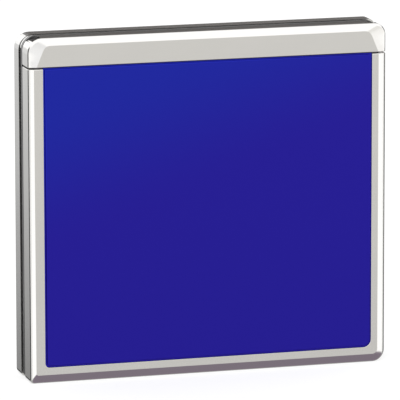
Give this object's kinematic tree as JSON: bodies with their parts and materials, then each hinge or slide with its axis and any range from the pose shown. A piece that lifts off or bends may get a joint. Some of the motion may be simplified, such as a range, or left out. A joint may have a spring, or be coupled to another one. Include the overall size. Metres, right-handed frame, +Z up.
{
  "type": "portable minidisc player",
  "caption": "Slim pocket disc player with a hinged bevelled lid, blue plate, sprung disc holder, spindle and pickup drive, rod cell, side keys and sockets.",
  "frame": {"origin": "middle of the lower edge that the player stands on, at half its width and half its depth", "axes": "+X to the right of the front face, +Y from the blue front plate to the back, +Z up to the hinge edge"},
  "size_m": [0.0789, 0.0136, 0.0735],
  "materials": {
    "silver_case": "satin",
    "polished_frame": "polished",
    "blue_plate": "anodised satin",
    "grey_frame": "dark anodised",
    "dark_plastic": "fine matte",
    "sheet_steel": "rolled sheet",
    "screw_steel": "zinc plated",
    "shaft_steel": "ground",
    "cell_wrap": "shrink film",
    "damper_rubber": "soft",
    "motor_can": "drawn can",
    "coil_copper": "enamelled wire",
    "magnet": "bonded magnet",
    "sled_black": "moulded",
    "lens_coating": "coated lens",
    "gear_white": "moulded",
    "pinion_brass": "turned",
    "flex_amber": "film",
    "board_green": "solder mask",
    "chip_black": "moulded",
    "key_silver": "metallic paint",
    "socket_black": "moulded"
  },
  "bodies": {
    "case": {"back_shell": "silver_case", "mid_frame": "grey_frame", "case_screws": "screw_steel", "battery_cell": "cell_wrap", "battery_spring": "shaft_steel", "battery_plate": "shaft_steel", "hinge_pins": "shaft_steel", "lid_springs": "shaft_steel", "drive_chassis": "sheet_steel", "drive_screws": "screw_steel", "drive_dampers": "damper_rubber", "spindle_base": "motor_can", "spindle_coils": "coil_copper", "main_shaft": "shaft_steel", "side_shaft": "shaft_steel", "shaft_posts": "dark_plastic", "idler_axle": "shaft_steel", "sled_motor": "motor_can", "pickup_flex": "flex_amber", "main_board": "board_green", "board_chips": "chip_black", "key_board": "board_green", "key_domes": "shaft_steel", "latch_spring": "shaft_steel", "headphone_jack": "socket_black", "jack_contacts": "pinion_brass", "power_jack": "socket_black", "power_pin": "pinion_brass"},
    "lid": {"lid_frame": "polished_frame", "hinge_bar": "polished_frame", "front_plate": "blue_plate", "lid_liner": "dark_plastic", "lid_rivets": "screw_steel", "lid_catch": "sheet_steel"},
    "holder": {"disc_holder": "sheet_steel", "disc_springs": "sheet_steel"},
    "door": {"battery_door": "silver_case"},
    "rotor": {"spindle_rotor": "shaft_steel", "disc_magnet": "magnet"},
    "pickup": {"pickup_sled": "sled_black", "pickup_lens": "lens_coating"},
    "screw": {"lead_screw": "shaft_steel"},
    "idler": {"idler_gear": "gear_white"},
    "pinion": {"motor_pinion": "pinion_brass"},
    "play": {"play_key": "key_silver"},
    "stop": {"stop_key": "key_silver"},
    "louder": {"louder_key": "key_silver"},
    "softer": {"softer_key": "key_silver"},
    "hold": {"hold_switch": "key_silver"},
    "open": {"open_slide": "key_silver"}
  },
  "joints": [
    {"name": "lid_swing", "type": "hinge", "parent": "case", "child": "lid", "pos_m": [0, -0.0016, 0.0714], "axis": [-1, 0, 0], "range_deg": [0, 30]},
    {"name": "holder_swing", "type": "hinge", "parent": "case", "child": "holder", "pos_m": [0, -0.0016, 0.0714], "axis": [-1, 0, 0], "range_deg": [0, 15]},
    {"name": "door_swing", "type": "hinge", "parent": "case", "child": "door", "pos_m": [-0.0281, 0.0063, 0.071], "axis": [1, 0, 0], "range_deg": [0, 90]},
    {"name": "disc_spin", "type": "hinge", "parent": "case", "child": "rotor", "pos_m": [0, 0, 0.0363], "axis": [0, 1, 0], "continuous": true},
    {"name": "screw_turn", "type": "hinge", "parent": "case", "child": "screw", "pos_m": [0.02, 0.00375, 0.0216], "axis": [1, 0, 0], "range_deg": [0, 4201]},
    {"name": "pickup_slide", "type": "slide", "parent": "case", "child": "pickup", "axis": [1, 0, 0], "range_m": [0, 0.014]},
    {"name": "idler_turn", "type": "hinge", "parent": "case", "child": "idler", "pos_m": [0.0035, 0.00375, 0.0176], "axis": [1, 0, 0], "range_deg": [-4201, 0]},
    {"name": "pinion_turn", "type": "hinge", "parent": "case", "child": "pinion", "pos_m": [0.0035, 0.00375, 0.01435], "axis": [1, 0, 0], "range_deg": [0, 6722]},
    {"name": "play_press", "type": "slide", "parent": "case", "child": "play", "axis": [-1, 0, 0], "range_m": [0, 0.00025], "stiffness_N_per_m": 800, "springref_m": -0.001},
    {"name": "stop_press", "type": "slide", "parent": "case", "child": "stop", "axis": [-1, 0, 0], "range_m": [0, 0.00025], "stiffness_N_per_m": 800, "springref_m": -0.001},
    {"name": "louder_press", "type": "slide", "parent": "case", "child": "louder", "axis": [-1, 0, 0], "range_m": [0, 0.00025], "stiffness_N_per_m": 800, "springref_m": -0.001},
    {"name": "softer_press", "type": "slide", "parent": "case", "child": "softer", "axis": [-1, 0, 0], "range_m": [0, 0.00025], "stiffness_N_per_m": 800, "springref_m": -0.001},
    {"name": "hold_slide", "type": "slide", "parent": "case", "child": "hold", "axis": [0, 0, 1], "range_m": [0, 0.0025]},
    {"name": "open_slide_travel", "type": "slide", "parent": "case", "child": "open", "axis": [0, 0, 1], "range_m": [0, 0.0025], "stiffness_N_per_m": 150, "springref_m": -0.003}
  ],
  "couplings": [
    {"joint": "holder_swing", "follows": "lid_swing", "ratio": 0.5},
    {"joint": "screw_turn", "follows": "pickup_slide", "rad_per_m": 5236},
    {"joint": "idler_turn", "follows": "pickup_slide", "rad_per_m": -5236},
    {"joint": "pinion_turn", "follows": "pickup_slide", "rad_per_m": 8377.6}
  ]
}
